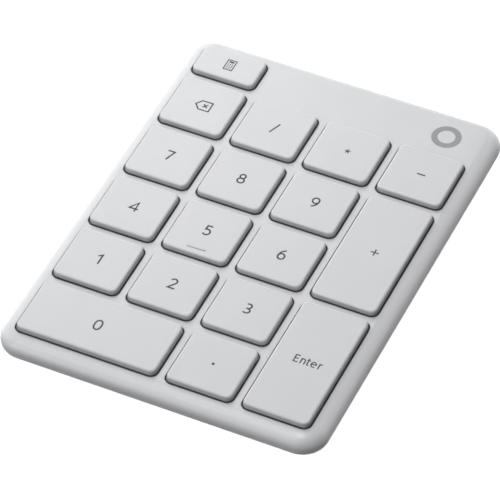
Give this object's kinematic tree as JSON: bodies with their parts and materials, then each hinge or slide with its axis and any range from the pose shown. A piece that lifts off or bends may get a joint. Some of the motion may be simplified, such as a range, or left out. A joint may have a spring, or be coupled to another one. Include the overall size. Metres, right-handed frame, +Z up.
{
  "type": "numeric keypad",
  "caption": "Thin wireless numeric keypad with sprung keys over rubber domes, standing on a rear bar that holds a coin cell and a radio board.",
  "frame": {"origin": "middle of the keypad's footprint, at desk height under the feet", "axes": "+Z up from the desk, +Y to the back edge (away from the user), +X to the user's right; the deck leans 1.8 degrees, higher at the back"},
  "size_m": [0.082, 0.1114, 0.0121],
  "materials": {
    "case_plastic": "moulded light grey-white plastic with a fine spark-eroded grain",
    "key_plastic": "moulded light grey-white plastic, a little smoother than the case, dark grey printed legends",
    "cover_plastic": "moulded light grey plastic with a coarser grain",
    "guide_plastic": "natural white moulded plastic",
    "printed_film": "clear film with printed silver tracks",
    "plate_steel": "rolled steel sheet",
    "screw_steel": "zinc-plated",
    "wire_steel": "bright drawn spring wire",
    "foot_rubber": "soft grey rubber",
    "dome_silicone": "translucent grey silicone",
    "board_laminate": "green solder mask",
    "shield_metal": "tinned sheet",
    "connector_plastic": "cream moulded plastic",
    "dark_plastic": "dark grey moulded plastic",
    "led_resin": "pale yellow resin",
    "clear_plastic": "clear moulded plastic",
    "cell_can": "nickel-plated steel",
    "contact_metal": "gold-flashed spring bronze"
  },
  "bodies": {
    "case": {"top_case": "case_plastic", "bottom_cover": "cover_plastic", "guide_plate": "guide_plastic", "membrane": "printed_film", "backing_plate": "plate_steel", "case_screws": "screw_steel", "rubber_feet": "foot_rubber", "dome_0": "dome_silicone", "dome_point": "dome_silicone", "dome_enter": "dome_silicone", "dome_1": "dome_silicone", "dome_2": "dome_silicone", "dome_3": "dome_silicone", "dome_4": "dome_silicone", "dome_5": "dome_silicone", "dome_6": "dome_silicone", "dome_plus": "dome_silicone", "dome_7": "dome_silicone", "dome_8": "dome_silicone", "dome_9": "dome_silicone", "dome_backspace": "dome_silicone", "dome_divide": "dome_silicone", "dome_multiply": "dome_silicone", "dome_minus": "dome_silicone", "dome_calculator": "dome_silicone", "circuit_board": "board_laminate", "radio_module": "shield_metal", "membrane_connector": "connector_plastic", "power_switch_body": "shield_metal", "pairing_switch": "shield_metal", "status_led": "led_resin", "light_pipe": "clear_plastic", "coin_cell": "cell_can", "negative_contact": "contact_metal", "positive_contact": "contact_metal"},
    "key_0": {"key_0": "key_plastic"},
    "key_point": {"key_point": "key_plastic"},
    "key_enter": {"key_enter": "key_plastic"},
    "key_1": {"key_1": "key_plastic"},
    "key_2": {"key_2": "key_plastic"},
    "key_3": {"key_3": "key_plastic"},
    "key_4": {"key_4": "key_plastic"},
    "key_5": {"key_5": "key_plastic"},
    "key_6": {"key_6": "key_plastic"},
    "key_plus": {"key_plus": "key_plastic"},
    "key_7": {"key_7": "key_plastic"},
    "key_8": {"key_8": "key_plastic"},
    "key_9": {"key_9": "key_plastic"},
    "key_backspace": {"key_backspace": "key_plastic"},
    "key_divide": {"key_divide": "key_plastic"},
    "key_multiply": {"key_multiply": "key_plastic"},
    "key_minus": {"key_minus": "key_plastic"},
    "key_calculator": {"key_calculator": "key_plastic"},
    "stabiliser_0": {"stabiliser_0": "wire_steel"},
    "stabiliser_enter": {"stabiliser_enter": "wire_steel"},
    "stabiliser_plus": {"stabiliser_plus": "wire_steel"},
    "power_switch_slider": {"power_switch_slider": "dark_plastic"},
    "pairing_button": {"pairing_button": "dark_plastic"},
    "battery_cover": {"battery_cover": "cover_plastic"}
  },
  "joints": [
    {"name": "key_0_press", "type": "slide", "parent": "case", "child": "key_0", "axis": [0, 0.0314, -0.9995], "range_m": [0, 0.0013], "stiffness_N_per_m": 260, "springref_m": -0.0008, "deforming": ["dome_0"]},
    {"name": "key_point_press", "type": "slide", "parent": "case", "child": "key_point", "axis": [0, 0.0314, -0.9995], "range_m": [0, 0.0013], "stiffness_N_per_m": 260, "springref_m": -0.0008, "deforming": ["dome_point"]},
    {"name": "key_enter_press", "type": "slide", "parent": "case", "child": "key_enter", "axis": [0, 0.0314, -0.9995], "range_m": [0, 0.0013], "stiffness_N_per_m": 260, "springref_m": -0.0008, "deforming": ["dome_enter"]},
    {"name": "key_1_press", "type": "slide", "parent": "case", "child": "key_1", "axis": [0, 0.0314, -0.9995], "range_m": [0, 0.0013], "stiffness_N_per_m": 260, "springref_m": -0.0008, "deforming": ["dome_1"]},
    {"name": "key_2_press", "type": "slide", "parent": "case", "child": "key_2", "axis": [0, 0.0314, -0.9995], "range_m": [0, 0.0013], "stiffness_N_per_m": 260, "springref_m": -0.0008, "deforming": ["dome_2"]},
    {"name": "key_3_press", "type": "slide", "parent": "case", "child": "key_3", "axis": [0, 0.0314, -0.9995], "range_m": [0, 0.0013], "stiffness_N_per_m": 260, "springref_m": -0.0008, "deforming": ["dome_3"]},
    {"name": "key_4_press", "type": "slide", "parent": "case", "child": "key_4", "axis": [0, 0.0314, -0.9995], "range_m": [0, 0.0013], "stiffness_N_per_m": 260, "springref_m": -0.0008, "deforming": ["dome_4"]},
    {"name": "key_5_press", "type": "slide", "parent": "case", "child": "key_5", "axis": [0, 0.0314, -0.9995], "range_m": [0, 0.0013], "stiffness_N_per_m": 260, "springref_m": -0.0008, "deforming": ["dome_5"]},
    {"name": "key_6_press", "type": "slide", "parent": "case", "child": "key_6", "axis": [0, 0.0314, -0.9995], "range_m": [0, 0.0013], "stiffness_N_per_m": 260, "springref_m": -0.0008, "deforming": ["dome_6"]},
    {"name": "key_plus_press", "type": "slide", "parent": "case", "child": "key_plus", "axis": [0, 0.0314, -0.9995], "range_m": [0, 0.0013], "stiffness_N_per_m": 260, "springref_m": -0.0008, "deforming": ["dome_plus"]},
    {"name": "key_7_press", "type": "slide", "parent": "case", "child": "key_7", "axis": [0, 0.0314, -0.9995], "range_m": [0, 0.0013], "stiffness_N_per_m": 260, "springref_m": -0.0008, "deforming": ["dome_7"]},
    {"name": "key_8_press", "type": "slide", "parent": "case", "child": "key_8", "axis": [0, 0.0314, -0.9995], "range_m": [0, 0.0013], "stiffness_N_per_m": 260, "springref_m": -0.0008, "deforming": ["dome_8"]},
    {"name": "key_9_press", "type": "slide", "parent": "case", "child": "key_9", "axis": [0, 0.0314, -0.9995], "range_m": [0, 0.0013], "stiffness_N_per_m": 260, "springref_m": -0.0008, "deforming": ["dome_9"]},
    {"name": "key_backspace_press", "type": "slide", "parent": "case", "child": "key_backspace", "axis": [0, 0.0314, -0.9995], "range_m": [0, 0.0013], "stiffness_N_per_m": 260, "springref_m": -0.0008, "deforming": ["dome_backspace"]},
    {"name": "key_divide_press", "type": "slide", "parent": "case", "child": "key_divide", "axis": [0, 0.0314, -0.9995], "range_m": [0, 0.0013], "stiffness_N_per_m": 260, "springref_m": -0.0008, "deforming": ["dome_divide"]},
    {"name": "key_multiply_press", "type": "slide", "parent": "case", "child": "key_multiply", "axis": [0, 0.0314, -0.9995], "range_m": [0, 0.0013], "stiffness_N_per_m": 260, "springref_m": -0.0008, "deforming": ["dome_multiply"]},
    {"name": "key_minus_press", "type": "slide", "parent": "case", "child": "key_minus", "axis": [0, 0.0314, -0.9995], "range_m": [0, 0.0013], "stiffness_N_per_m": 260, "springref_m": -0.0008, "deforming": ["dome_minus"]},
    {"name": "key_calculator_press", "type": "slide", "parent": "case", "child": "key_calculator", "axis": [0, 0.0314, -0.9995], "range_m": [0, 0.0013], "stiffness_N_per_m": 260, "springref_m": -0.0008, "deforming": ["dome_calculator"]},
    {"name": "stabiliser_0_rock", "type": "hinge", "parent": "case", "child": "stabiliser_0", "pos_m": [-0.019, -0.03748, 0.00567], "axis": [1, 0, 0], "range_deg": [0, 14.94]},
    {"name": "stabiliser_enter_rock", "type": "hinge", "parent": "case", "child": "stabiliser_enter", "pos_m": [0.0345, -0.03418, 0.00577], "axis": [0, -0.9995, -0.0314], "range_deg": [0, 14.94]},
    {"name": "stabiliser_plus_rock", "type": "hinge", "parent": "case", "child": "stabiliser_plus", "pos_m": [0.0345, 0.003, 0.00694], "axis": [0, -0.9995, -0.0314], "range_deg": [0, 14.94]},
    {"name": "power_switch_slide", "type": "slide", "parent": "case", "child": "power_switch_slider", "axis": [1, 0, 0], "range_m": [0, 0.002]},
    {"name": "pairing_button_press", "type": "slide", "parent": "case", "child": "pairing_button", "axis": [0, -0.0314, 0.9995], "range_m": [0, 0.0003], "stiffness_N_per_m": 600, "springref_m": -0.0004},
    {"name": "battery_cover_turn", "type": "hinge", "parent": "case", "child": "battery_cover", "pos_m": [-0.017, 0.03816, 0.00074], "axis": [0, -0.0314, 0.9995], "range_deg": [0, 60]}
  ],
  "couplings": [
    {"joint": "stabiliser_0_rock", "follows": "key_0_press", "rad_per_m": 200.37},
    {"joint": "stabiliser_enter_rock", "follows": "key_enter_press", "rad_per_m": 200.37},
    {"joint": "stabiliser_plus_rock", "follows": "key_plus_press", "rad_per_m": 200.37}
  ]
}
